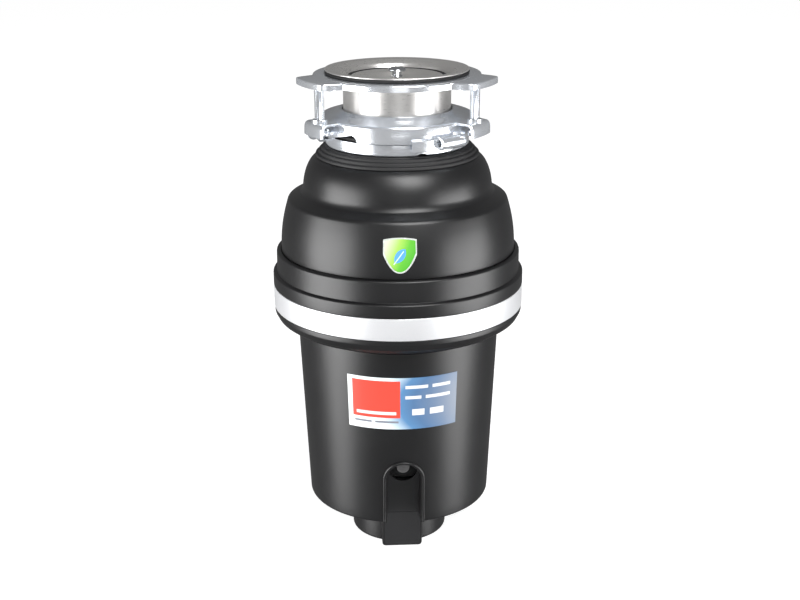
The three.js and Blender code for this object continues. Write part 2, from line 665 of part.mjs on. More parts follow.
// A thin skin on a turned wall, between low(angle) and high, over four steps of height.
function patch(low, high, { middle, halfAngle }, radiusAt, steps) {
  const section = (angle) => {
    const foot = low(angle);
    const levels = [0, 1, 2, 3, 4].map((i) => foot + ((high - foot) * i) / 4);
    const side = (lift) => levels.map((z) => [radiusAt(z) + lift, z]);
    return [...side(0.4), ...side(0.9).reverse()];
  };
  return arcSweep(section, middle - halfAngle, middle + halfAngle, steps);
}
part('rating_label', patch(() => LABEL.low, LABEL.high, LABEL, coverRadius, 12), LABEL_BLUE);

function upperRadius(z) {
  const k = TIER.findIndex(([, height]) => height > z);
  const [[r0, z0], [r1, z1]] = [TIER[k - 1], TIER[k]];
  return r0 + ((r1 - r0) * (z - z0)) / (z1 - z0);
}

// The shield narrows to a point at its foot.
function shieldFoot(angle) {
  const across = Math.abs(angle - BADGE.middle) / BADGE.halfAngle;
  return BADGE.low + (BADGE.high - BADGE.low) * 0.55 * across ** 2.2;
}
part('shield_badge', patch(shieldFoot, BADGE.high, BADGE, upperRadius, 8), BADGE_GREEN);

export default disposer;
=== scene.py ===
"""A kitchen food-waste disposer with its sink mount, built round its fixed CAD frame."""

import json
from math import atan2, cos, pi, radians, sin, sqrt, tan

import bmesh
import bpy
from mathutils import Matrix, Vector


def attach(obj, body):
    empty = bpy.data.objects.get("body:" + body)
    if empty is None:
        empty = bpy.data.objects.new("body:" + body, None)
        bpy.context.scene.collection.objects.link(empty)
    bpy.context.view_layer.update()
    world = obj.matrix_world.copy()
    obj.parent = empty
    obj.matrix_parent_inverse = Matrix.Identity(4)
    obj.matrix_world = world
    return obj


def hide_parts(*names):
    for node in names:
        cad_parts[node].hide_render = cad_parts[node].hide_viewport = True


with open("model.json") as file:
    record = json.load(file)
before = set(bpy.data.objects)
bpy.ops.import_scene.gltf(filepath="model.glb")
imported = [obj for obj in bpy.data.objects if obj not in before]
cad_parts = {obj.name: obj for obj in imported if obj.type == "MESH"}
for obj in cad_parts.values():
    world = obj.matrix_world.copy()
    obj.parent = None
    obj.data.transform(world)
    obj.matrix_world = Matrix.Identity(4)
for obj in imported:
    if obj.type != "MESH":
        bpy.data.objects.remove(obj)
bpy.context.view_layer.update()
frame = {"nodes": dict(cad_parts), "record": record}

# ---- Camera, floor and studio lights ---------------------------------------
# The unit stands on a white sweep. Tall soft boxes stand at its sides with a
# low one under each, and two weaker ones in front light its shoulder and sleeve.

MM = 0.001
VIEW_TURN = radians(-3)  # the camera stands a little to the left of the front
CAMERA_REACH, CAMERA_HEIGHT, CAMERA_TILT = 1.031, 0.553, radians(18.67)
CAMERA_ROLL = -0.28  # in degrees


def aimed(name, data, place, target):
    """Adds an object at a place, looking at a target."""
    thing = bpy.data.objects.new(name, data)
    bpy.context.scene.collection.objects.link(thing)
    thing.location = place
    thing.rotation_euler = (Vector(target) - Vector(place)).to_track_quat("-Z", "Y").to_euler()
    return thing


camera_place = Vector((CAMERA_REACH * sin(VIEW_TURN), -CAMERA_REACH * cos(VIEW_TURN), CAMERA_HEIGHT))
lens = bpy.data.cameras.new("camera")
lens.sensor_width = 36
lens.lens = 58.68
lens.shift_x = 0.0024
lens.clip_end = 50
camera = aimed("camera", lens, camera_place, (0, 0, CAMERA_HEIGHT - CAMERA_REACH * tan(CAMERA_TILT)))
camera.rotation_euler.rotate_axis("Z", radians(CAMERA_ROLL))
bpy.context.scene.camera = camera


def softbox(name, bearing, height, reach, size, power, colour=(1, 1, 1)):
    """A rectangular lamp on a bearing, in degrees to the right of the camera, facing the unit."""
    lamp = bpy.data.lights.new(name, "AREA")
    lamp.shape = "RECTANGLE"
    lamp.size, lamp.size_y = size
    lamp.energy = power
    lamp.color = colour
    turn = radians(bearing) + VIEW_TURN
    return aimed(name, lamp, (reach * sin(turn), -reach * cos(turn), height), (0, 0, 0.22))


softbox("left_box", -67, 0.17, 1.6, (1.4, 1.09), 37)
softbox("left_low_box", -72, -0.62, 1.6, (0.8, 0.5), 6)
softbox("right_box", 68, 0.04, 1.6, (1.4, 0.83), 24)
softbox("right_low_box", 72, -0.62, 1.6, (0.8, 0.5), 6)
softbox("front_box", 19, 1.7, 1.3, (1.0, 1.3), 45)
softbox("front_fill", 4, 0.3, 1.6, (0.6, 0.4), 0.7)

world = bpy.data.worlds.new("studio")
world.use_nodes = True
world.node_tree.nodes["Background"].inputs["Color"].default_value = (1, 1, 1, 1)
world.node_tree.nodes["Background"].inputs["Strength"].default_value = 0.18
bpy.context.scene.world = world
bpy.context.scene.view_settings.view_transform = "Standard"

sheet = bmesh.new()
bmesh.ops.create_grid(sheet, x_segments=1, y_segments=1, size=30)
floor_mesh = bpy.data.meshes.new("floor")
sheet.to_mesh(floor_mesh)
sheet.free()
floor = bpy.data.objects.new("floor", floor_mesh)
floor.location.z = -0.0004
bpy.context.scene.collection.objects.link(floor)
floor_paint = bpy.data.materials.new("floor")
floor_paint.use_nodes = True
floor_shader = floor_paint.node_tree.nodes["Principled BSDF"]
floor_shader.inputs["Base Color"].default_value = (0.45, 0.45, 0.45, 1)
floor_shader.inputs["Roughness"].default_value = 1
floor_shader.inputs["Specular IOR Level"].default_value = 0
floor_shader.inputs["Emission Color"].default_value = (1, 1, 1, 1)
floor_shader.inputs["Emission Strength"].default_value = 0.9
floor_mesh.materials.append(floor_paint)
floor.visible_glossy = False
floor.visible_shadow = False

# A far round wall closes the sweep behind the unit from every side.
paper = bmesh.new()
bmesh.ops.create_cone(paper, cap_ends=False, segments=96, radius1=16, radius2=16, depth=20)
wall_mesh = bpy.data.meshes.new("wall")
paper.to_mesh(wall_mesh)
paper.free()
wall_mesh.materials.append(floor_paint)
wall = bpy.data.objects.new("wall", wall_mesh)
wall.location.z = 9
bpy.context.scene.collection.objects.link(wall)
wall.visible_diffuse = False
wall.visible_glossy = False
wall.visible_shadow = False

# ---- Upper cover -----------------------------------------------------------
# The moulded sound cover of the grinding unit: a domed shoulder over a wide,
# slightly swelling tier, in black plastic with a fine satin mould grain.


class Wire:
    """A shader value. Arithmetic on it adds Math nodes to its material."""

    def __init__(self, finish, socket):
        self.finish, self.socket = finish, socket

    def math(self, operation, *values):
        sockets = dict(enumerate((self, *values)))
        return self.finish.node("ShaderNodeMath", {"operation": operation}, sockets)

    def __add__(self, other):
        return self.math("ADD", other)

    __radd__ = __add__

    def __mul__(self, other):
        return self.math("MULTIPLY", other)

    __rmul__ = __mul__

    def __sub__(self, other):
        return self.math("SUBTRACT", other)

    def __rsub__(self, other):
        return self * -1 + other

    def __truediv__(self, other):
        return self.math("DIVIDE", other)

    def over(self, limit):
        """One where this is above the limit, otherwise zero."""
        return self.math("GREATER_THAN", limit)

    def under(self, limit):
        return self.math("LESS_THAN", limit)

    def between(self, low, high):
        return self.over(low) * self.under(high)


class Finish:
    """A material of one Principled shader, with helpers that wire nodes into it."""

    def __init__(self, name, **constants):
        self.material = bpy.data.materials.new(name)
        self.material.use_nodes = True
        self.tree = self.material.node_tree
        self.shader = self.tree.nodes["Principled BSDF"]
        for socket, value in constants.items():
            self.put(socket.replace("_", " "), value)

    def put(self, socket, value):
        """Sets a socket of the shader, to a constant or a wire."""
        entry = self.shader.inputs[socket]
        if isinstance(value, Wire):
            self.tree.links.new(value.socket, entry)
        else:
            entry.default_value = (*value, 1) if isinstance(value, tuple) else value

    def node(self, kind, settings, sockets, output=0):
        made = self.tree.nodes.new(kind)
        for key, value in settings.items():
            if key == "stops":
                ramp = made.color_ramp.elements
                while len(ramp) < len(value):
                    ramp.new(1)
                for element, (position, colour) in zip(ramp, value):
                    element.position = position
                    element.color = (*colour, 1)
            else:
                setattr(made, key, value)
        for key, value in sockets.items():
            if isinstance(value, Wire):
                self.tree.links.new(value.socket, made.inputs[key])
            else:
                made.inputs[key].default_value = value
        return Wire(self, made.outputs[output])

    def place(self):
        """The point on the piece, in its own coordinates."""
        return self.node("ShaderNodeTexCoord", {}, {}, "Object")

    def split(self, vector):
        """The three parts of a vector."""
        parts = self.node("ShaderNodeSeparateXYZ", {}, {"Vector": vector})
        made = parts.socket.node
        return [Wire(self, made.outputs[i]) for i in range(3)]

    def noise(self, at, scale, detail=3.0, rough=0.5):
        return self.node(
            "ShaderNodeTexNoise", {}, {"Vector": at, "Scale": scale, "Detail": detail, "Roughness": rough}
        )

    def mixed(self, factor, first, second):
        """One colour laid over another."""
        first, second = [(*c, 1) if isinstance(c, tuple) else c for c in (first, second)]
        made = self.node(
            "ShaderNodeMix", {"data_type": "RGBA"}, {"Factor": factor, 6: first, 7: second}, output=2
        )
        return made

    def bumped(self, height, strength, distance):
        """Raises the surface by a height, in metres of distance."""
        bump = self.node(
            "ShaderNodeBump", {}, {"Strength": strength, "Distance": distance, "Height": height}
        )
        self.put("Normal", bump)


def moulded_black(name, tone, roughness):
    """Satin black moulding: fine grain, faint mottling and slight wear in its sheen."""
    finish = Finish(name, IOR=1.5)
    at = finish.place()
    grain = finish.noise(at, 2600, 2)
    cloud = finish.noise(at, 34, 3)
    finish.put("Base Color", finish.mixed(cloud, tone, tuple(c * 1.35 for c in tone)))
    finish.put("Roughness", grain * 0.05 + cloud * 0.06 + (roughness - 0.055))
    finish.bumped(grain, 0.18, 0.00012)
    return finish.material


black_cover = moulded_black("black_cover", (0.005, 0.005, 0.0054), 0.36)


def rounded(corners, steps=6):
    """An outline with each (across, up, radius) corner made a smooth arc."""
    points = []
    for i, (across, up, radius) in enumerate(corners):
        here = Vector((across, up))
        if radius == 0:
            points.append(here)
            continue
        before = Vector(corners[i - 1][:2]) - here
        after = Vector(corners[(i + 1) % len(corners)][:2]) - here
        reach = min(radius / tan(before.angle(after) / 2), 0.48 * before.length, 0.48 * after.length)
        first, last = here + before.normalized() * reach, here + after.normalized() * reach
        for k in range(steps + 1):
            t = k / steps
            points.append(first * (1 - t) ** 2 + here * (2 * t * (1 - t)) + last * t**2)
    return [(point.x, point.y) for point in points]


def turned(outline, steps=192):
    """A bmesh of an outline of (radius, height), in millimetres, spun about the upright axis."""
    shape = bmesh.new()
    corners = [shape.verts.new((radius * MM, 0, height * MM)) for radius, height in outline]
    on_axis = outline[0][0] == 0 and outline[-1][0] == 0
    ends = corners[1:] if on_axis else corners[1:] + corners[:1]
    sides = [shape.edges.new(pair) for pair in zip(corners, ends)]
    bmesh.ops.spin(
        shape, geom=corners + sides, cent=(0, 0, 0), axis=(0, 0, 1), angle=2 * pi, steps=steps, use_merge=True
    )
    bmesh.ops.remove_doubles(shape, verts=shape.verts, dist=2e-6)
    bmesh.ops.recalc_face_normals(shape, faces=shape.faces)
    return shape


def piece(name, shape, body, finish, slot, *stands_for, crease=32):
    """Turns a bmesh into a piece that rides on a body, smooth except at its creases."""
    for face in shape.faces:
        face.smooth = True
    for edge in shape.edges:
        if len(edge.link_faces) == 2 and edge.calc_face_angle() > radians(crease):
            edge.smooth = False
    mesh = bpy.data.meshes.new(name)
    shape.to_mesh(mesh)
    shape.free()
    mesh.materials.append(finish)
    made = bpy.data.objects.new(name, mesh)
    bpy.context.scene.collection.objects.link(made)
    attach(made, body)
    if stands_for:
        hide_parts(*stands_for)
    return made


def bored(made, *tools):
    """Cuts closed bmeshes out of a piece, and keeps the result as its mesh."""
    return carved(made, "DIFFERENCE", *tools)


def carved(made, operation, *tools):
    """Joins closed bmeshes to a piece, or cuts it by them, and keeps the result as its mesh."""
    cutters = []
    for tool in tools:
        mesh = bpy.data.meshes.new("cutter")
        tool.to_mesh(mesh)
        tool.free()
        cutter = bpy.data.objects.new("cutter", mesh)
        bpy.context.scene.collection.objects.link(cutter)
        change = made.modifiers.new("cut", "BOOLEAN")
        change.operation = operation
        change.solver = "EXACT"
        change.object = cutter
        cutters.append(cutter)
    bpy.context.view_layer.update()
    seen = made.evaluated_get(bpy.context.evaluated_depsgraph_get())
    result = bpy.data.meshes.new_from_object(seen)
    made.modifiers.clear()
    made.data = result
    for cutter in cutters:
        bpy.data.objects.remove(cutter)
    shape = bmesh.new()
    shape.from_mesh(result)
    bmesh.ops.remove_doubles(shape, verts=shape.verts, dist=2e-6)
    for face in shape.faces:
        face.smooth = True
    for edge in shape.edges:
        sharp = len(edge.link_faces) == 2 and edge.calc_face_angle() > radians(32)
        edge.smooth = not sharp
    shape.to_mesh(result)
    shape.free()
    return made


def bar(radius, low, high, height, segments=64):
    """A round bar along Y, from y = low to y = high, at a height, all in millimetres."""
    shape = bmesh.new()
    bmesh.ops.create_cone(
        shape,
        cap_ends=True,
        segments=segments,
        radius1=radius * MM,
        radius2=radius * MM,
        depth=(high - low) * MM,
        matrix=Matrix.Translation((0, (high + low) / 2 * MM, height * MM)) @ Matrix.Rotation(pi / 2, 4, "X"),
    )
    return shape


DOME = (62, 14.5, 301, 29)  # centre radius, width, foot height and rise of the domed shoulder
TIER_FOOT, TIER_SWELL = 256, 0.0044


def tier_radius(height):
    """The lower tier's radius: upright at its foot, leaning in more and more above."""
    return 95.2 - TIER_SWELL * max(height - TIER_FOOT, 0) ** 2


def dome_points(inset, count=14):
    centre, width, foot, rise = DOME
    angles = [radians(4 + 74 * i / count) for i in range(count + 1)]
    return [(centre + (width - inset) * cos(a), foot + (rise - inset) * sin(a), 0) for a in angles]


tier_heights = [256 + 34 * i / 10 for i in range(11)]
upper_outline = rounded(
    [(92.8, 252, 0), (95.2, 252, 1.2)]
    + [(tier_radius(z), z, 0) for z in tier_heights]
    + [(88.6, 295.3, 5), (78.6, 299.9, 3)]
    + dome_points(0)
    + [(63.6, 330, 1.2), (56.5, 329.4, 0.6), (56.5, 326.6, 0)]
    + [(r, z, 0) for r, z, _ in reversed(dome_points(2.6))]
    + [(75.4, 298.4, 2), (85.8, 293, 3)]
    + [(tier_radius(z) - 2.5, z, 0) for z in reversed(tier_heights[1:])]
)
upper_cover = piece(
    "upper_cover_shell", turned(upper_outline), "housing", black_cover, "black_plastic", "upper_cover"
)
bored(upper_cover, bar(12, 60, 120, 283))

# ---- Belt cover and trim band ----------------------------------------------
# The widest moulding, which joins the two covers: two stepped bands above a
# satin silver strip, and a rolled lip below. The discharge spout leaves through its back.

belt_outline = rounded(
    [
        (84.3, 189, 0.4),
        (93.5, 192.2, 3),
        (99.4, 196.4, 4),
        (102.1, 201.5, 3),
        (102.1, 205.5, 0.4),
        (100.2, 205.5, 0),
        (100.2, 223.9, 0),
        (102.6, 223.9, 0.4),
        (102.6, 234.2, 1.6),
        (99.4, 235.1, 0.3),
        (99.3, 252.2, 1.8),
        (95.6, 252.6, 0.6),
        (95.6, 250.6, 0),
        (93, 250.6, 0),
        (93, 248.4, 0),
        (96.8, 248.4, 0),
        (97, 232, 0),
        (97.8, 226, 0),
        (97.8, 203, 0),
        (94.6, 198.4, 0),
        (84.3, 191.6, 0),
    ],
    5,
)
belt_cover = piece(
    "belt_cover_shell", turned(belt_outline), "housing", black_cover, "black_plastic", "belt_cover"
)
bored(belt_cover, bar(23.4, 60, 120, 227))


def silver_strip():
    """Satin silver paint with a very fine flake."""
    finish = Finish("silver_strip", Metallic=0.6, IOR=1.45)
    at = finish.place()
    flake = finish.noise(at, 4200, 1)
    finish.put("Base Color", finish.mixed(flake, (0.66, 0.67, 0.69), (0.8, 0.805, 0.82)))
    finish.put("Roughness", finish.noise(at, 60) * 0.06 + 0.34)
    finish.bumped(flake, 0.1, 0.00005)
    return finish.material


band_outline = rounded([(100.6, 205.8, 0), (102.5, 205.8, 0.6), (102.5, 223.6, 0.6), (100.6, 223.6, 0)], 4)
trim_band = piece(
    "trim_band_strip", turned(band_outline), "housing", silver_strip(), "silver_trim", "trim_band"
)
bored(trim_band, bar(23.4, 60, 120, 227))

# ---- Lower cover -----------------------------------------------------------
# The tapered motor cover. A trough runs down its front from a round hole to the
# foot, edged by a thin raised rib in the shape of an arch.

COVER_FOOT, COVER_TOP = 37, 188


def cover_radius(height):
    """The taper of the cover's side."""
    return 76.3 + 6.9 * (height - COVER_FOOT) / (COVER_TOP - COVER_FOOT)


cover_side = [
    (72, COVER_FOOT, 0),
    (cover_radius(COVER_FOOT), COVER_FOOT, 5),
    (cover_radius(48), 48, 0),
    (cover_radius(COVER_TOP), COVER_TOP, 0.8),
]
lower_outline = rounded(
    [(34, COVER_FOOT, 0)]
    + cover_side
    + [(80.7, COVER_TOP, 0), (cover_radius(42) - 2.5, 42, 2), (71.8, 39.6, 0), (34, 39.6, 0)]
)
lower_cover = piece(
    "lower_cover_shell", turned(lower_outline), "housing", black_cover, "black_plastic", "lower_cover"
)

ARCH_TOP, ARCH_HALF, RIB = 93.7, 16.9, 2.3
TROUGH_FOOT, TROUGH_LEAN = 48, 18 / 84


def arch_prism(half, top, foot, back, front=95, flare=0.0, segments=24):
    """An arch-headed bar from y = -front to y = -back, wider in front by the flare."""
    shape = bmesh.new()
    for depth, wide in ((front, half + flare), (back, half)):
        centre = top - half
        around = [pi * i / segments for i in range(segments + 1)]
        head = [(wide * cos(a), centre + wide * sin(a)) for a in around]
        ring = [(wide, foot), *head, (-wide, foot)]
        corners = [shape.verts.new((x * MM, -depth * MM, z * MM)) for x, z in ring]
        shape.faces.new(corners)
    shape.edges.ensure_lookup_table()
    bmesh.ops.bridge_loops(shape, edges=[e for e in shape.edges if len(e.link_faces) == 1])
    bmesh.ops.remove_doubles(shape, verts=shape.verts, dist=1e-6)
    bmesh.ops.recalc_face_normals(shape, faces=shape.faces)
    return shape


def before_floor(shape, inset):
    """Keeps what lies in front of the trough's leaning floor."""
    normal = Vector((0, -1, -TROUGH_LEAN)).normalized()
    point = Vector((0, (inset - TROUGH_FOOT) * MM, 0))
    cut = bmesh.ops.bisect_plane(
        shape,
        geom=shape.verts[:] + shape.edges[:] + shape.faces[:],
        plane_co=point,
        plane_no=-normal,
        clear_outer=True,
    )
    bmesh.ops.holes_fill(shape, edges=[e for e in cut["geom_cut"] if isinstance(e, bmesh.types.BMEdge)])
    bmesh.ops.recalc_face_normals(shape, faces=shape.faces)
    return shape


trough = piece(
    "trough",
    before_floor(arch_prism(ARCH_HALF - RIB + 1.2, ARCH_TOP - 1.6, 37.01, 36), 2.5),
    "housing",
    black_cover,
    "black_plastic",
)
outer_cone = turned(rounded([(0, COVER_FOOT + 0.01, 0), *cover_side, (0, COVER_TOP, 0)]))
carved(trough, "INTERSECT", outer_cone)
rib = piece("rib", arch_prism(ARCH_HALF, ARCH_TOP, 37.02, 71), "housing", black_cover, "black_plastic")
proud_cone = turned(
    [(0, 37.02), (76.6, 37.02), (cover_radius(48) + 1.1, 48), (cover_radius(188) + 1.1, 188), (0, 188)]
)
carved(rib, "INTERSECT", proud_cone)
rib_shape = bmesh.new()
rib_shape.from_mesh(rib.data)
trough_shape = bmesh.new()
trough_shape.from_mesh(trough.data)
for helper in (rib, trough):
    bpy.data.objects.remove(helper)
carved(lower_cover, "UNION", trough_shape, rib_shape)
channel = before_floor(
    arch_prism(ARCH_HALF - RIB - 3.0, ARCH_TOP - RIB - 3.0, 30, 40, front=88, flare=3.4), 0
)
bored(lower_cover, channel, bar(11.6, -90, -52, 80.6))


def bead(path, radius, sides=16):
    """A round bead swept along a path of points in metres, closed at its ends."""
    shape = bmesh.new()
    rings = []
    for i, point in enumerate(path):
        ahead = (path[min(i + 1, len(path) - 1)] - path[max(i - 1, 0)]).normalized()
        out = Vector((point.x, point.y, 0)).normalized()
        across = ahead.cross(out).normalized()
        out = across.cross(ahead)
        around = [2 * pi * k / sides for k in range(sides)]
        ring = [shape.verts.new(point + radius * (cos(a) * across + sin(a) * out)) for a in around]
        rings.append([shape.edges.new((ring[k], ring[(k + 1) % sides])) for k in range(sides)])
    for first, second in zip(rings, rings[1:]):
        bmesh.ops.bridge_loops(shape, edges=first + second)
    bmesh.ops.holes_fill(shape, edges=rings[0] + rings[-1])
    bmesh.ops.recalc_face_normals(shape, faces=shape.faces)
    return shape


def on_cover(x, z, lift):
    """The point of the cover's front at (x, z), a little proud, in metres."""
    radius = cover_radius(max(z, 42)) + lift
    return Vector((x, -sqrt(radius * radius - x * x), z)) * MM


rib_half = ARCH_HALF - RIB / 2
arch_path = [(rib_half, 38.6 + (ARCH_TOP - ARCH_HALF - 38.6) * i / 24) for i in range(24)]
arch_path += [
    (rib_half * cos(pi * i / 48), ARCH_TOP - ARCH_HALF + rib_half * sin(pi * i / 48)) for i in range(49)
]
arch_path += [(-x, z) for x, z in reversed(arch_path[:24])]
rib_bead = bead([on_cover(x, z, 0.25) for x, z in arch_path], 0.00125)
piece("arch_rib", rib_bead, "housing", black_cover, "black_plastic")

screw_turns = [35, 145, 215, 325]
for turn in screw_turns:
    hole = bmesh.new()
    place = Matrix.Translation((62 * cos(radians(turn)) * MM, 62 * sin(radians(turn)) * MM, 0.038))
    bmesh.ops.create_cone(
        hole, cap_ends=True, segments=24, radius1=0.0024, radius2=0.0024, depth=0.01, matrix=place
    )
    bored(lower_cover, hole)

# ---- Base collar -----------------------------------------------------------
# The round foot under the motor cover. A flat-faced boss carries the trough's
# floor down to the ground.

collar_outline = rounded(
    [(0, 0, 0), (40.2, 0, 2.6), (40.2, 36.7, 0), (37.2, 36.7, 0), (37.2, 3, 0), (0, 3, 0)]
)
base_collar = piece(
    "base_collar_shell", turned(collar_outline), "housing", black_cover, "black_plastic", "base_collar"
)
boss = bmesh.new()
bmesh.ops.create_cube(
    boss, size=1,
    matrix=Matrix.Translation((0, -0.058, 0.0184)) @ Matrix.Diagonal((0.0336, 0.042, 0.0366, 1)),
)
lean = Vector((0, -1, -TROUGH_LEAN)).normalized()
cut = boss.verts[:] + boss.edges[:] + boss.faces[:]
bmesh.ops.bisect_plane(boss, geom=cut, plane_co=(0, -TROUGH_FOOT * MM, 0), plane_no=lean, clear_outer=True)
bmesh.ops.holes_fill(boss, edges=[e for e in boss.edges if len(e.link_faces) == 1])
front = [
    e for e in boss.edges if max(v.co.y for v in e.verts) < -0.045 and min(v.co.z for v in e.verts) < 0.03
]
low_sides = [
    e
    for e in boss.edges
    if max(v.co.z for v in e.verts) < 0.001 and abs(e.verts[0].co.x - e.verts[1].co.x) < 1e-5
]
bmesh.ops.bevel(
    boss, geom=list({*front, *low_sides}), offset=0.0028, segments=5, profile=0.5, affect="EDGES",
    material=-1,
)
bmesh.ops.recalc_face_normals(boss, faces=boss.faces)
carved(base_collar, "UNION", boss)

# The trough's floor and the boss it runs down to have a coarser grain, and a paler tone that is painted light
# for the light these front faces catch.
grain_and_painted_light = moulded_black("trough_grain_painted_light", (0.012, 0.012, 0.013), 0.5)
for moulding in (lower_cover, base_collar):
    moulding.data.materials.append(grain_and_painted_light)
    for face in moulding.data.polygons:
        inside = abs(face.center.x) < 0.0166 and face.center.z < 0.078 and face.center.y > -0.0715
        if face.normal.y < -0.9 and inside:
            face.material_index = len(moulding.data.materials) - 1

# ---- Vibration collar ------------------------------------------------------
# The stepped rubber ring between the cover and the mount.

def plain_rubber(name, tone, roughness):
    """Matt rubber with a dusty bloom."""
    finish = Finish(name, IOR=1.45)
    at = finish.place()
    bloom = finish.noise(at, 90, 4)
    finish.put("Base Color", finish.mixed(bloom, tone, tuple(c * 1.8 for c in tone)))
    finish.put("Roughness", bloom * 0.15 + (roughness - 0.07))
    finish.bumped(finish.noise(at, 1400, 2), 0.3, 0.0001)
    return finish.material


black_rubber = plain_rubber("black_rubber", (0.008, 0.008, 0.0085), 0.6)
collar_steps = rounded(
    [
        (49, 329.6, 0),
        (65.8, 329.6, 0.4),
        (65.4, 331.8, 1),
        (63.2, 332.2, 0.3),
        (62.8, 334.6, 1),
        (61, 335, 0.3),
        (60.6, 336.9, 1),
        (58, 337.2, 0.3),
        (57.6, 338.1, 0.4),
        (49, 338.1, 0),
    ],
    4,
)
piece("vibration_collar_rubber", turned(collar_steps), "housing", black_rubber, "rubber", "vibration_collar")

# ---- Sink flange and gasket ------------------------------------------------
# The pressed stainless flange that sits in the sink, polished in rings on its
# rim and left bright on its sleeve. A black rubber gasket seals it to the sink.


def ring_brushed(name, tone, roughness, depth):
    """Stainless steel brushed in circles about the upright axis."""
    finish = Finish(name, Metallic=0.85)
    across, along, up = finish.split(finish.place())
    radius = finish.node("ShaderNodeMath", {"operation": "SQRT"}, {0: across * across + along * along})
    turn = finish.node("ShaderNodeMath", {"operation": "ARCTAN2"}, {0: along, 1: across})
    lines_at = finish.node("ShaderNodeCombineXYZ", {}, {0: radius * 900, 1: turn * 2.2, 2: up * 900})
    lines = finish.node("ShaderNodeTexNoise", {}, {"Vector": lines_at, "Scale": 4.0, "Detail": 4.0})
    stain = finish.noise(finish.place(), 22, 4)
    finish.put("Base Color", finish.mixed(stain, tone, tuple(c * 0.86 for c in tone)))
    finish.put("Roughness", lines * 0.14 + stain * 0.06 + (roughness - 0.1))
    finish.bumped(lines, depth, 0.00006)
    return finish.material


flange_steel = ring_brushed("flange_steel", (0.8, 0.785, 0.765), 0.3, 0.3)
flange_outline = rounded(
    [
        (57.05, 396.8, 0.3),
        (57.15, 397.9, 0.8),
        (53.5, 398.2, 0.6),
        (49.6, 397.6, 3),
        (44.2, 394.6, 6),
        (41.1, 385, 6),
        (41.1, 352, 0.4),
        (42.9, 352, 0.4),
        (42.9, 360.7, 0),
        (42, 360.7, 0),
        (42, 363.5, 0),
        (42.9, 363.5, 0),
        (42.9, 388, 3),
        (45.6, 395, 3),
        (50.4, 396.8, 0),
    ]
)
piece("sink_flange_pressing", turned(flange_outline), "sink_mount", flange_steel, "stainless", "sink_flange")
gasket_outline = rounded([(50.9, 394.4, 0), (57.3, 394.4, 0.8), (57.3, 396.6, 0.8), (50.9, 396.6, 0)], 4)
piece("sink_gasket_ring", turned(gasket_outline), "sink_mount", black_rubber, "rubber", "sink_gasket")

# ---- Support flange --------------------------------------------------------
# The eared backing plate that the three screws push up against the sink,
# pressed from steel with a turned-down edge, zinc plated.


def zinc_plate(name, tone, roughness, metal=1.0):
    """Bright zinc plating: cold tint, cloudy passivation and faint press ripple."""
    finish = Finish(name, Metallic=metal)
    at = finish.place()
    cloud = finish.noise(at, 48, 4)
    fleck = finish.noise(at, 700, 3)
    finish.put("Base Color", finish.mixed(cloud, tone, (tone[0] * 0.84, tone[1] * 0.88, tone[2] * 0.94)))
    finish.put("Roughness", cloud * 0.14 + fleck * 0.08 + (roughness - 0.1))
    finish.bumped(finish.noise(at, 150, 3) * 0.7 + fleck * 0.3, 0.22, 0.0003)
    return finish.material


zinc = zinc_plate("bright_zinc", (0.87, 0.885, 0.905), 0.19, 0.84)
SCREW_TURNS = [207, 327, 87]
SCREW_RADIUS = 69


def eared(circle, ear, half, blend_turn=4.5, count=240):
    """The plate's outline: a circle with three broad ears at the screws."""
    points = []
    for i in range(count):
        turn = 360 * i / count
        away = min(abs((turn - middle + 180) % 360 - 180) for middle in SCREW_TURNS)
        t = min(max((half + blend_turn - away) / (2 * blend_turn), 0), 1)
        radius = circle + (ear - circle) * t * t * (3 - 2 * t)
        points.append((radius * cos(radians(turn)), radius * sin(radians(turn))))
    return points


def plate(points, low, high):
    """A flat plate of an outline, from one height to another."""
    shape = bmesh.new()
    base = shape.faces.new([shape.verts.new((x * MM, y * MM, low * MM)) for x, y in points])
    grown = bmesh.ops.extrude_face_region(shape, geom=[base])
    raised = [v for v in grown["geom"] if isinstance(v, bmesh.types.BMVert)]
    bmesh.ops.translate(shape, verts=raised, vec=(0, 0, (high - low) * MM))
    bmesh.ops.recalc_face_normals(shape, faces=shape.faces)
    return shape


support_shape = plate(eared(66.6, 81, 19), 389, 394)
rims = [
    e
    for e in support_shape.edges
    if abs(e.verts[0].co.z - e.verts[1].co.z) < 1e-7 and e.verts[0].co.z > 0.3935
]
bmesh.ops.bevel(support_shape, geom=rims, offset=0.0011, segments=4, profile=0.5, affect="EDGES", material=-1)
support = piece("support_flange_plate", support_shape, "backing_plate", zinc, "zinc_steel", "support_flange")
throat = bmesh.new()
bmesh.ops.create_cone(
    throat, cap_ends=True, segments=128, radius1=0.0465, radius2=0.0465, depth=0.02,
    matrix=Matrix.Translation((0, 0, 0.392)),
)
bored(support, plate(eared(64.9, 79.3, 18.4), 388, 392.3), throat)


# ---- Mounting ring ---------------------------------------------------------
# The upper ring hangs from a snap ring in the sleeve. It is pressed from steel:
# a dished plate, a rounded skirt, and three lugs that carry the screws.

RING_OUTLINE = rounded(
    [
        (43.9, 363.4, 0.3),
        (44.1, 366.8, 0.7),
        (46.2, 366.5, 1),
        (49.8, 364.8, 2.5),
        (56.5, 363, 3),
        (60.8, 361.6, 2.6),
        (61.8, 355, 1),
        (61.8, 348.6, 0.5),
        (59.9, 348.6, 0.4),
        (59.9, 358, 1.6),
        (56, 360.5, 2),
        (49.5, 362.9, 1),
    ],
    5,
)
mounting_ring = piece(
    "mounting_ring_pressing", turned(RING_OUTLINE), "sink_mount", zinc, "zinc_steel", "mounting_ring"
)


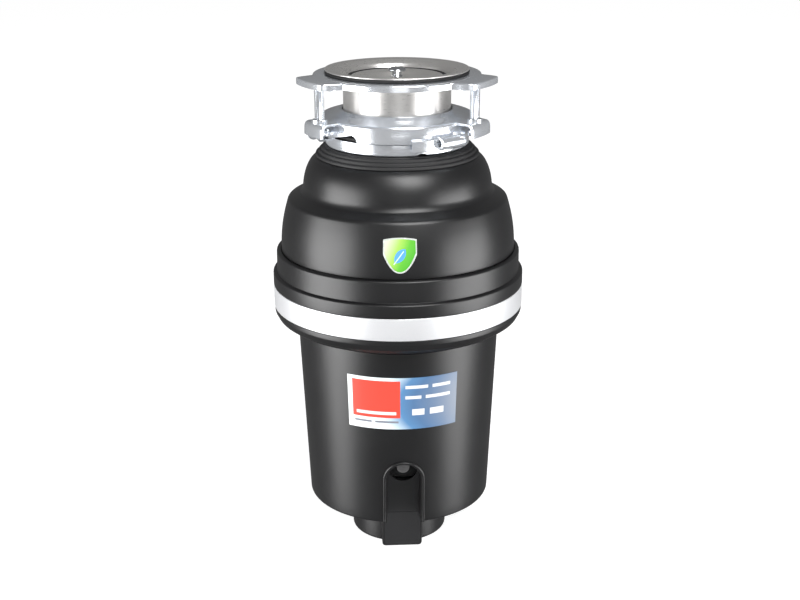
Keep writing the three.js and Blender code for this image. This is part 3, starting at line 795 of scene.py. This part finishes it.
def swept(section, start, end, steps):
    """A closed (radius, height) section swept round the upright axis between two bearings."""
    shape = bmesh.new()
    corners = [
        shape.verts.new((r * cos(radians(start)) * MM, r * sin(radians(start)) * MM, z * MM))
        for r, z in section
    ]
    face = shape.faces.new(corners)
    bmesh.ops.spin(
        shape, geom=[face], cent=(0, 0, 0), axis=(0, 0, 1), angle=radians(end - start), steps=steps
    )
    if not shape.faces[:] or face not in shape.faces:
        shape.faces.new(corners)
    bmesh.ops.remove_doubles(shape, verts=shape.verts, dist=1e-6)
    bmesh.ops.holes_fill(shape, edges=[e for e in shape.edges if len(e.link_faces) == 1])
    bmesh.ops.recalc_face_normals(shape, faces=shape.faces)
    return shape


plate_lugs = []
for turn in SCREW_TURNS:
    for side in (-1, 1):
        middle = turn + side * 10.5
        plate_lugs.append(
            swept([(66.2, 386.6), (68, 386.6), (68, 393), (66.2, 393)], middle - 4.5, middle + 4.5, 6)
        )
carved(support, "UNION", *plate_lugs)

EAR_SECTION = rounded(
    [
        (58.2, 359.3, 0),
        (74.4, 359.3, 6),
        (75, 350.6, 0.4),
        (76.8, 350.6, 0.5),
        (76.6, 361.5, 7.5),
        (58.2, 361.5, 0),
    ],
    6,
)
lugs = [swept(EAR_SECTION, turn - 11.5, turn + 11.5, 20) for turn in SCREW_TURNS]
for lug in lugs:
    corners = [e for e in lug.edges if len(e.link_faces) == 2 and e.calc_face_angle() > radians(60)]
    bmesh.ops.bevel(lug, geom=corners, offset=0.0009, segments=3, profile=0.5, affect="EDGES", material=-1)


def standing(radius, low, high, turn, segments=48, reach=SCREW_RADIUS):
    """An upright round bar at a screw's place."""
    shape = bmesh.new()
    place = (reach * cos(radians(turn)) * MM, reach * sin(radians(turn)) * MM, (low + high) / 2 * MM)
    bmesh.ops.create_cone(
        shape,
        cap_ends=True,
        segments=segments,
        radius1=radius * MM,
        radius2=radius * MM,
        depth=(high - low) * MM,
        matrix=Matrix.Translation(place),
    )
    return shape


bosses = [standing(6, 360.4, 363.6, turn) for turn in SCREW_TURNS]
carved(mounting_ring, "UNION", *lugs, *bosses)
screw_holes = [standing(4.3, 340, 370, turn) for turn in SCREW_TURNS]

WEDGE_START, WEDGE_SPAN = -149.5, 27  # degrees round from the right, and degrees long


def entry_wedge(turn):
    """The slanted mouth beside a ramp, rounded at its tall end."""
    shape = bmesh.new()
    count = 24
    for radius in (57, 64):
        along = []
        for i in range(count + 1):
            t = i / count
            bearing = radians(WEDGE_START + WEDGE_SPAN * t + turn)
            tall = 6.6 * t if t < 0.8 else 5.3 * sqrt(max(1 - ((t - 0.8) / 0.2) ** 2, 0))
            along.append((bearing, 348.8 + tall))
        top = [shape.verts.new((radius * cos(b) * MM, radius * sin(b) * MM, z * MM)) for b, z in along]
        low = [
            shape.verts.new((radius * cos(b) * MM, radius * sin(b) * MM, 347 * MM))
            for b, _ in reversed(along)
        ]
        shape.faces.new(top + low)
    bmesh.ops.bridge_loops(shape, edges=[e for e in shape.edges if len(e.link_faces) == 1])
    bmesh.ops.recalc_face_normals(shape, faces=shape.faces)
    return shape


bored(mounting_ring, *screw_holes, *[entry_wedge(turn) for turn in (0, 120, 240)])

# ---- Mounting screws -------------------------------------------------------
# Three long clamp screws with rolled threads and a slotted hexagon head below
# each lug. They bear on the underside of the support flange.


def threaded(radius, low, high, pitch, turn, depth=0.42, sides=36):
    """A screw shank at a screw's place, its thread a true helix."""
    shape = bmesh.new()
    rows = int((high - low) / pitch * 8)
    around = [2 * pi * i / sides for i in range(sides)]
    section = [shape.verts.new((radius * cos(a) * MM, radius * sin(a) * MM, low * MM)) for a in around]
    rim = [shape.edges.new((section[i], section[(i + 1) % sides])) for i in range(sides)]
    shape.faces.new(section)
    for _ in range(rows):
        grown = bmesh.ops.extrude_edge_only(shape, edges=rim)["geom"]
        rim = [e for e in grown if isinstance(e, bmesh.types.BMEdge)]
        fresh = [v for v in grown if isinstance(v, bmesh.types.BMVert)]
        bmesh.ops.translate(shape, verts=fresh, vec=(0, 0, (high - low) / rows * MM))
    bmesh.ops.holes_fill(shape, edges=rim)
    for vertex in shape.verts:
        bearing = atan2(vertex.co.y, vertex.co.x) / (2 * pi)
        phase = (vertex.co.z / MM / pitch - bearing) % 1
        near_end = min(1, (high - vertex.co.z / MM) / 1.2, (vertex.co.z / MM - low) / 1.2)
        scale = 1 - depth / radius * (1 - abs(2 * phase - 1)) * max(near_end, 0.0)
        vertex.co.x *= scale
        vertex.co.y *= scale
    place = (SCREW_RADIUS * cos(radians(turn)) * MM, SCREW_RADIUS * sin(radians(turn)) * MM, 0)
    bmesh.ops.translate(shape, verts=shape.verts, vec=place)
    bmesh.ops.recalc_face_normals(shape, faces=shape.faces)
    return shape


bodies = ["screw_a", "screw_b", "screw_c"]
for i, (turn, body) in enumerate(zip(SCREW_TURNS, bodies)):
    shank = threaded(4, 353, 391.9, 1.6, turn)
    screw = piece(
        f"clamp_screw_{i + 1}", shank, body, zinc, "zinc_steel", f"mounting_screw_{i + 1}", crease=50
    )
    head = standing(6, 350.6, 355, turn, segments=6)
    bmesh.ops.bevel(
        head, geom=head.edges[:], offset=0.0004, segments=2, profile=0.5, affect="EDGES", material=-1
    )
    slot_cut = bmesh.new()
    spot = (SCREW_RADIUS * cos(radians(turn)) * MM, SCREW_RADIUS * sin(radians(turn)) * MM, 0.3506)
    lie = Matrix.Translation(spot) @ Matrix.Diagonal((0.016, 0.0016, 0.0032, 1))
    bmesh.ops.create_cube(slot_cut, size=1, matrix=lie)
    carved(screw, "UNION", head)
    bored(screw, slot_cut)

# ---- Lower mounting ring ---------------------------------------------------
# The ring that hangs the unit. It turns on the neck, its tabs climb the upper
# ring's ramps, and a lever goes through one of its three rolled loops.

CAM_OUTLINE = rounded(
    [
        (49.2, 338.6, 0),
        (57.2, 338.6, 1.4),
        (57.3, 347.6, 0.6),
        (55.2, 347.6, 0.4),
        (55.2, 340.7, 0),
        (49.2, 340.7, 0),
    ],
    5,
)
cam_ring = piece(
    "cam_ring_pressing", turned(CAM_OUTLINE), "cam_ring", zinc, "zinc_steel", "lower_mounting_ring"
)
LOOP_TURN, LOOP_RADIUS, LOOP_HEIGHT = -56, 67.6, 349.4
BRACKET_OUTLINE = rounded(
    [
        (56.2, 342.8, 0),
        (64.6, 342.8, 0.8),
        (64.6, 352, 0.6),
        (62.9, 352, 0.6),
        (62.9, 344.6, 0.6),
        (56.2, 344.6, 0),
    ],
    4,
)


def loop_bar(turn, radius, length, segments):
    """A round bar that lies level along one of the three rolled loops."""
    shape = bmesh.new()
    lie = Matrix.Rotation(radians(turn + LOOP_TURN), 4, "Z")
    lie = lie @ Matrix.Translation((LOOP_RADIUS * MM, 0, LOOP_HEIGHT * MM)) @ Matrix.Rotation(pi / 2, 4, "X")
    bmesh.ops.create_cone(
        shape,
        cap_ends=True,
        segments=segments,
        radius1=radius * MM,
        radius2=radius * MM,
        depth=length * MM,
        matrix=lie,
    )
    return shape


risers = []
for turn in (0, 120, 240):
    risers.append(swept([(55.2, 345), (57.2, 345), (57.2, 357.4), (55.2, 357.4)], turn - 84, turn - 66, 12))
    risers.append(swept([(56, 355.9), (59, 355.9), (59, 357.8), (56, 357.8)], turn - 81, turn - 69, 8))
    risers.append(swept(BRACKET_OUTLINE, turn - 83, turn - 45, 34))
    roll = loop_bar(turn, 4.9, 22.5, 48)
    ends = [e for e in roll.edges if len(e.link_faces) == 2 and e.calc_face_angle() > radians(60)]
    bmesh.ops.bevel(roll, geom=ends, offset=0.0005, segments=3, profile=0.5, affect="EDGES", material=-1)
    risers.append(roll)
carved(cam_ring, "UNION", *risers)
reliefs = []
for turn in (0, 120, 240):
    bore = loop_bar(turn, 2.8, 30, 40)
    reliefs.append(bore)
    wave = bar(9, -62, -50, 331.4)
    bmesh.ops.rotate(
        wave, verts=wave.verts, cent=(0, 0, 0), matrix=Matrix.Rotation(radians(16.5 + turn), 3, "Z")
    )
    reliefs.append(wave)
bored(cam_ring, *reliefs)

# ---- Snap ring -------------------------------------------------------------
# A split wire ring in the sleeve's groove, which stops the upper ring from dropping.

spring_steel = ring_brushed("spring_steel", (0.36, 0.36, 0.37), 0.34, 0.2)
snap_outline = [
    (43.75 + 1.15 * cos(2 * pi * i / 14), 362.05 + 1.15 * sin(2 * pi * i / 14)) for i in range(14)
]
piece("snap_ring_wire", swept(snap_outline, 94, 446, 120), "sink_mount", spring_steel, "steel", "snap_ring")

# ---- Stopper ---------------------------------------------------------------
# A shallow stainless dish with a rubber edge and a chromed pull knob.

chrome = zinc_plate("knob_chrome", (0.86, 0.86, 0.87), 0.14)
dish_outline = rounded(
    [(0, 389, 0), (28, 389, 4), (36.4, 390.6, 1), (36.4, 392, 0.5), (28, 390.4, 4), (0, 390.4, 0)], 5
)
piece("stopper_plate", turned(dish_outline), "stopper", flange_steel, "stainless", "stopper_dish")
seal_outline = rounded(
    [
        (31, 386.4, 0.4), (38.4, 386.4, 1), (40.4, 390.4, 1), (39, 392.3, 0.8), (36.8, 392.3, 0.4),
        (36.8, 390, 0), (31, 388.6, 0),
    ], 4
)
piece("stopper_edge", turned(seal_outline), "stopper", black_rubber, "rubber", "stopper_seal")
knob_outline = rounded(
    [
        (0, 390.7, 0), (4.6, 390.7, 0.4), (3.4, 392.6, 1.4), (4, 394.4, 1), (7.1, 395.2, 0.9),
        (7.1, 396.8, 1), (5, 398.2, 1.6), (0, 398.5, 0),
    ], 5
)
piece("stopper_pull", turned(knob_outline, 64), "stopper", chrome, "zinc_steel", "stopper_knob")

# ---- Rating label ----------------------------------------------------------
# A printed film on the lower cover: a field that shades from white to blue-grey,
# a red block on the left, and plain bars where the real one has print.

LABEL_TURN, LABEL_HALF, LABEL_LOW, LABEL_HIGH = -90.5, 31.9, 123.1, 167.6


def cover_film(turn, half, low, high, radius_at, lift, columns=60, rows=12):
    """A thin skin on a turned wall, from one height to another and to each side of a bearing."""
    shape = bmesh.new()
    bmesh.ops.create_grid(shape, x_segments=columns, y_segments=rows, size=0.5)
    for vertex in shape.verts:
        height = low + (high - low) * (vertex.co.y + 0.5)
        bearing = radians(turn + 2 * half * vertex.co.x)
        radius = radius_at(height) + lift
        vertex.co = Vector((radius * cos(bearing), radius * sin(bearing), height)) * MM
    bmesh.ops.solidify(shape, geom=shape.faces[:], thickness=-0.00018)
    bmesh.ops.recalc_face_normals(shape, faces=shape.faces)
    return shape


def label_print():
    """The label's print, laid out by bearing across and height up."""
    finish = Finish("label_print", Roughness=0.34, IOR=1.5)
    across, along, up = finish.split(finish.place())
    turn = finish.node("ShaderNodeMath", {"operation": "ARCTAN2"}, {0: along, 1: across})
    u = (turn - radians(LABEL_TURN - LABEL_HALF)) / radians(2 * LABEL_HALF)
    v = (up - LABEL_LOW * MM) / ((LABEL_HIGH - LABEL_LOW) * MM)
    stops = [(0.0, (0.72, 0.74, 0.74)), (0.3, (0.6, 0.68, 0.7)), (0.5, (0.07, 0.18, 0.34))]
    stops += [(0.62, (0.06, 0.13, 0.25)), (1.0, (0.16, 0.19, 0.24))]
    field = finish.node(
        "ShaderNodeValToRGB", {"stops": stops}, {0: u * 0.95 + (v - 0.5) * (v - 0.5) * -0.5 + 0.06}
    )
    red_block = u.between(0.045, 0.475) * v.between(0.22, 0.94)
    colour = finish.mixed(red_block, field, (0.6, 0.045, 0.026))
    # Plain blocks stand where the lines of print would be.
    white = (0.56, 0.57, 0.58)
    lines = (
        (0.79, 0.85, 0.52, 0.72), (0.79, 0.85, 0.76, 0.93), (0.59, 0.65, 0.52, 0.66), (0.59, 0.65, 0.7, 0.93),
        (0.27, 0.39, 0.58, 0.69), (0.27, 0.39, 0.74, 0.87), (0.28, 0.34, 0.08, 0.44),
    )
    for low, high, left, right in lines:
        colour = finish.mixed(u.between(left, right) * v.between(low, high), colour, white)
    for left, right in ((0.06, 0.22), (0.25, 0.46)):
        colour = finish.mixed(u.between(left, right) * v.between(0.12, 0.16), colour, (0.16, 0.17, 0.2))
    finish.put("Base Color", colour)
    finish.bumped(finish.noise(finish.place(), 900, 2), 0.06, 0.0001)
    return finish.material


label_skin = cover_film(LABEL_TURN, LABEL_HALF, LABEL_LOW, LABEL_HIGH, cover_radius, 0.35)
piece("rating_label_film", label_skin, "housing", label_print(), "label", "rating_label")

# ---- Shield badge ----------------------------------------------------------
# A domed sticker in the shape of a shield on the upper tier: a silver edge
# round a green field with a blue leaf.

BADGE_TURN, BADGE_HALF, BADGE_LOW, BADGE_HIGH = -92, 7.8, 257.8, 284.6


def shield_edge(across, inset):
    """The shield's lowest and highest point at a place across it, from -1 to 1."""
    low = BADGE_LOW + inset * 1.2 + 14.5 * abs(across) ** 2.1
    high = BADGE_HIGH - inset - 1.4 * abs(across) ** 2
    return low, high


def shield(inset, lift, thickness, columns=36, rows=16):
    shape = bmesh.new()
    bmesh.ops.create_grid(shape, x_segments=columns, y_segments=rows, size=0.5)
    half = BADGE_HALF - inset * 0.62
    for vertex in shape.verts:
        across = vertex.co.x * 2
        low, high = shield_edge(across, inset)
        height = low + (high - low) * (vertex.co.y + 0.5)
        bearing = radians(BADGE_TURN + half * across)
        radius = tier_radius(height) + lift
        vertex.co = Vector((radius * cos(bearing), radius * sin(bearing), height)) * MM
    bmesh.ops.solidify(shape, geom=shape.faces[:], thickness=-thickness * MM)
    bmesh.ops.recalc_face_normals(shape, faces=shape.faces)
    return shape


def badge_edge():
    finish = Finish("badge_edge", Metallic=0.4, IOR=1.5)
    grain = finish.noise(finish.place(), 300)
    finish.put("Base Color", finish.mixed(grain, (0.56, 0.6, 0.57), (0.7, 0.73, 0.7)))
    finish.put("Roughness", grain * 0.1 + 0.22)
    return finish.material


def badge_field():
    """Printed film, pale lime on the left and leaf green on the right, with a blue leaf."""
    finish = Finish("badge_field", Roughness=0.22, IOR=1.5)
    across, along, up = finish.split(finish.place())
    x = (across - 94 * MM * cos(radians(BADGE_TURN))) / MM
    z = (up - (BADGE_LOW + BADGE_HIGH) / 2 * MM) / MM
    stops = [(0.0, (0.5, 0.62, 0.42)), (0.35, (0.27, 0.47, 0.08))]
    stops += [(0.62, (0.09, 0.36, 0.03)), (1.0, (0.04, 0.28, 0.02))]
    field = finish.node("ShaderNodeValToRGB", {"stops": stops}, {0: (x * 0.8 - z * 0.35 + 12) / 24})
    # The leaf is where two circles overlap; its midrib is a thin line.
    slant_x, slant_z = x * 0.8 - z * 0.6, x * 0.6 + z * 0.8
    left = (slant_x + 4.5) * (slant_x + 4.5) + slant_z * slant_z
    right = (slant_x - 4.5) * (slant_x - 4.5) + slant_z * slant_z
    leaf = left.under(64.0) * right.under(64.0)
    rib = slant_x.between(-0.35, 0.35) * slant_z.between(-8.0, 4.6)
    colour = finish.mixed(leaf, field, (0.07, 0.26, 0.62))
    colour = finish.mixed(rib, colour, (0.5, 0.66, 0.6))
    finish.put("Base Color", colour)
    finish.bumped(finish.noise(finish.place(), 500, 2), 0.05, 0.0001)
    return finish.material


piece("badge_rim", shield(0, 0.35, 0.25), "housing", badge_edge(), "badge", "shield_badge")
piece("badge_face", shield(1.0, 0.62, 0.22), "housing", badge_field(), "badge")

# ---- Reset switch ----------------------------------------------------------
# The overload switch stands in the trough's hole, with its grey button.

dark_moulding = moulded_black("dark_moulding", (0.01, 0.01, 0.011), 0.5)
grey_moulding = moulded_black("grey_moulding", (0.11, 0.108, 0.11), 0.45)
button_outline = rounded([(0, -9.2, 0), (5.3, -9.2, 0.2), (5.3, 0, 1.4), (3.6, -0.5, 0.8), (0, -0.7, 0)], 4)
button = turned(button_outline, 64)
button_place = Matrix.Translation((0, -0.0666, 0.083)) @ Matrix.Rotation(pi / 2, 4, "X")
bmesh.ops.transform(button, verts=button.verts, matrix=button_place)
piece("reset_button_cap", button, "button", grey_moulding, "grey_plastic", "reset_button")

# ---- Discharge spout, its gasket and the dishwasher inlet ------------------
# Grey moulded tails at the back: the waste outlet through the belt, and the
# smaller hose tail above it, each with a bead that grips its hose.


def backwards(outline, height, segments=96):
    """A turned shape laid along +Y, its outline given as (radius, y)."""
    shape = turned(outline, segments)
    lie = Matrix.Translation((0, 0, height * MM)) @ Matrix.Rotation(-pi / 2, 4, "X")
    bmesh.ops.transform(shape, verts=shape.verts, matrix=lie)
    return shape


spout_outline = rounded(
    [
        (18.5, 90.6, 0), (22.5, 90.6, 0.4), (22.5, 94, 0.6), (20.5, 94.4, 0.6), (20.5, 115.5, 0.5),
        (21.6, 117, 0.8), (21.6, 120, 1), (20.4, 122, 0.5), (18.5, 122, 0.5),
    ], 4
)
piece(
    "discharge_tail", backwards(spout_outline, 227), "housing", grey_moulding, "grey_plastic",
    "discharge_spout",
)
gasket_ring = rounded([(19, 88.3, 0.3), (22.5, 88.3, 0.6), (22.5, 90.3, 0.6), (19, 90.3, 0.3)], 3)
piece("discharge_seal", backwards(gasket_ring, 227), "housing", black_rubber, "rubber", "discharge_gasket")
inlet_outline = rounded(
    [
        (0, 71.2, 0), (15, 71.2, 0.5), (15, 74, 0.8), (10.6, 74.4, 1), (10.6, 106.5, 0.5),
        (11.5, 108, 0.8), (10.4, 112, 0.8), (8.2, 112, 0.5), (8.2, 74, 0), (0, 74, 0),
    ], 4
)
piece(
    "inlet_tail", backwards(inlet_outline, 283), "housing", grey_moulding, "grey_plastic",
    "dishwasher_inlet",
)

# ---- Cable gland and cover screws ------------------------------------------
# Under the motor cover: the threaded entry for the supply cord, and four
# cross-headed screws that hold the cover.

gland_outline = rounded(
    [
        (4.5, 24, 0.5), (9, 24, 0.8), (10.5, 27.4, 0.8), (10.5, 36.6, 0.4), (6.6, 36.6, 0),
        (6.6, 43.4, 0), (4.5, 43.4, 0),
    ], 4
)
gland = turned(gland_outline, 72)
bmesh.ops.translate(gland, verts=gland.verts, vec=(0, 0.056, 0))
piece("cord_entry", gland, "housing", dark_moulding, "black_plastic", "cable_gland")
bright_screw = zinc_plate("screw_steel", (0.6, 0.61, 0.63), 0.28)
for i, turn in enumerate(screw_turns):
    outline = rounded(
        [
            (0, 34.2, 0), (3, 34.2, 1), (4, 35.6, 0.6), (4, 36.7, 0.2), (2, 36.7, 0), (2, 50, 0.4),
            (0, 50, 0),
        ],
        3,
    )
    screw = turned(outline, 40)
    spot = (62 * cos(radians(turn)) * MM, 62 * sin(radians(turn)) * MM, 0)
    bmesh.ops.translate(screw, verts=screw.verts, vec=spot)
    made = piece(f"cover_fixing_{i + 1}", screw, "housing", bright_screw, "steel", f"cover_screw_{i + 1}")
    for cross in (0, 90):
        slot_cut = bmesh.new()
        lie = Matrix.Translation((*spot[:2], 0.0342)) @ Matrix.Rotation(radians(cross), 4, "Z")
        lie = lie @ Matrix.Diagonal((0.0042, 0.0009, 0.0024, 1))
        bmesh.ops.create_cube(slot_cut, size=1, matrix=lie)
        bored(made, slot_cut)

# ---- Splash guard ----------------------------------------------------------
# The rubber baffle in the throat, slit into six fingers that sag to a mouth.

guard_outline = rounded(
    [
        (43, 345.5, 0), (54, 345.5, 0.6), (54, 349.6, 0.8), (52, 351.5, 0.8), (44, 351.5, 1.5),
        (41.4, 348.6, 1.5), (17, 342.8, 1), (17, 340.8, 0.8),
    ], 5
)
guard = piece(
    "splash_guard_rubber", turned(guard_outline, 96), "housing", black_rubber, "rubber", "splash_guard"
)
slits = []
for turn in range(0, 180, 60):
    slit = bmesh.new()
    lie = Matrix.Rotation(radians(turn), 4, "Z") @ Matrix.Translation((0, 0, 0.3435))
    bmesh.ops.create_cube(slit, size=1, matrix=lie @ Matrix.Diagonal((0.072, 0.0012, 0.011, 1)))
    slits.append(slit)
bored(guard, *slits)

# ---- Inner works -----------------------------------------------------------
# The grinder and the motor keep their plain solids, each in its own material, though the ferrite's near-black
# tone is partly painted shade.

finishes = {
    "steel": zinc_plate("machined_steel", (0.42, 0.42, 0.43), 0.36),
    "casting": zinc_plate("cast_aluminium", (0.5, 0.5, 0.51), 0.5),
    "copper": zinc_plate("enamelled_copper", (0.6, 0.26, 0.1), 0.32),
    "brass": zinc_plate("plain_brass", (0.68, 0.48, 0.2), 0.32),
    # Ferrite is dark, and this near-black tone is also painted shade: it darkens the overload switch seen
    # round the reset button, so the hole reads as a black recess.
    "ferrite": plain_rubber("ferrite_and_painted_shade", (0.006, 0.006, 0.0065), 0.8),
    "grey_plastic": grey_moulding,
    "rubber": black_rubber,
    "black_plastic": dark_moulding,
}
node_slots = {row["node"]: row["material_slot"] for row in frame["record"]["subparts"]}
for name, node in frame["nodes"].items():
    if not node.hide_render and node_slots[name] in finishes:
        node.data.materials.clear()
        node.data.materials.append(finishes[node_slots[name]])
